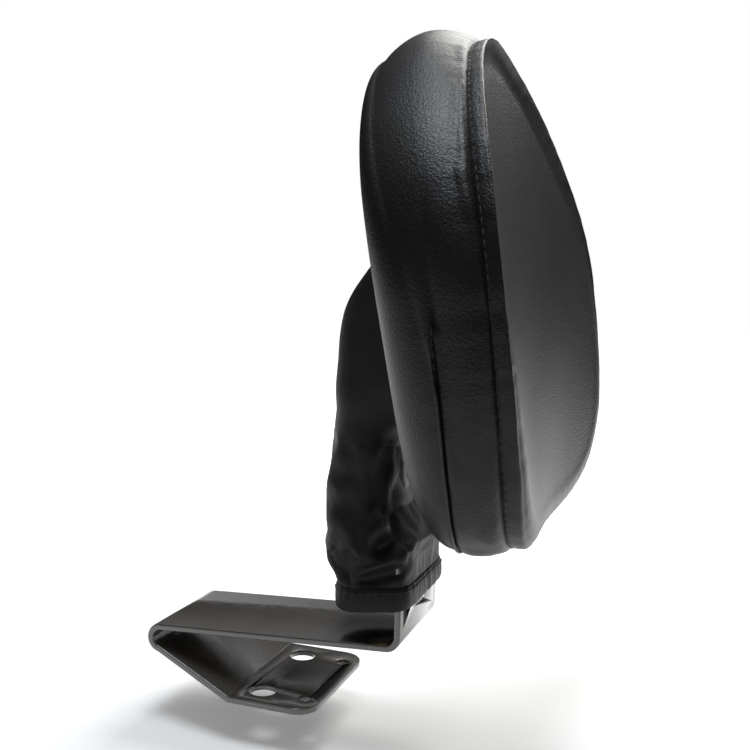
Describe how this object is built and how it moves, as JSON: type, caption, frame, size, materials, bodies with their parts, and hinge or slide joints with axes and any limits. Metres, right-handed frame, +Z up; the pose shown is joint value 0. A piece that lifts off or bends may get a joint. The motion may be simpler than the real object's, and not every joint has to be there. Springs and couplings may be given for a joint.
{
  "type": "headrest attachment",
  "caption": "Add-on chair headrest: wrap-around padded cushion on a two-pivot friction neck in a soft boot, on a folded steel strap with bolt holes.",
  "frame": {"origin": "centre of the pair of bolt holes, on the underside of the flange", "axes": "+X forwards, towards the head; +Y to the sitter's left; +Z up"},
  "size_m": [0.1652, 0.189, 0.2538],
  "materials": {
    "strap_paint": "gloss",
    "bright_steel": "satin",
    "zinc_steel": "satin",
    "spring_steel": "satin",
    "friction_disc": "matte",
    "arm_steel": "satin",
    "sleeve_brass": "satin",
    "plywood": "matte",
    "foam": "matte",
    "vinyl": "satin",
    "boot_cloth": "satin"
  },
  "bodies": {
    "bracket": {"mounting_bracket": "strap_paint", "lower_clevis": "strap_paint", "clevis_rivets": "bright_steel", "lower_pivot_bolt": "zinc_steel", "lower_pivot_nut": "zinc_steel", "lower_friction_washers": "friction_disc", "lower_spring_washer": "spring_steel", "boot_hem": "boot_cloth", "boot_lower": "boot_cloth"},
    "arm": {"arm_plate_left": "arm_steel", "arm_plate_right": "arm_steel", "arm_spacers": "bright_steel", "lower_pivot_sleeve": "sleeve_brass", "upper_pivot_sleeve": "sleeve_brass"},
    "pad": {"upper_pivot_bolt": "zinc_steel", "upper_pivot_nut": "zinc_steel", "upper_friction_washers": "friction_disc", "upper_spring_washer": "spring_steel", "pad_hinge_plate": "strap_paint", "hinge_screws": "zinc_steel", "tee_nuts": "zinc_steel", "cushion_board": "plywood", "front_foam": "foam", "back_foam": "foam", "front_cover": "vinyl", "side_gusset": "vinyl", "back_cover": "vinyl", "boot_upper": "boot_cloth"}
  },
  "joints": [
    {"name": "lower_pivot", "type": "hinge", "parent": "bracket", "child": "arm", "pos_m": [0.03877, 0, 0.05953], "axis": [0, 1, 0], "range_deg": [-20, 25], "deforming": ["boot_lower"]},
    {"name": "upper_pivot", "type": "hinge", "parent": "arm", "child": "pad", "pos_m": [0.03877, 0, 0.14652], "axis": [0, 1, 0], "range_deg": [-25, 6], "deforming": ["boot_upper"]}
  ]
}
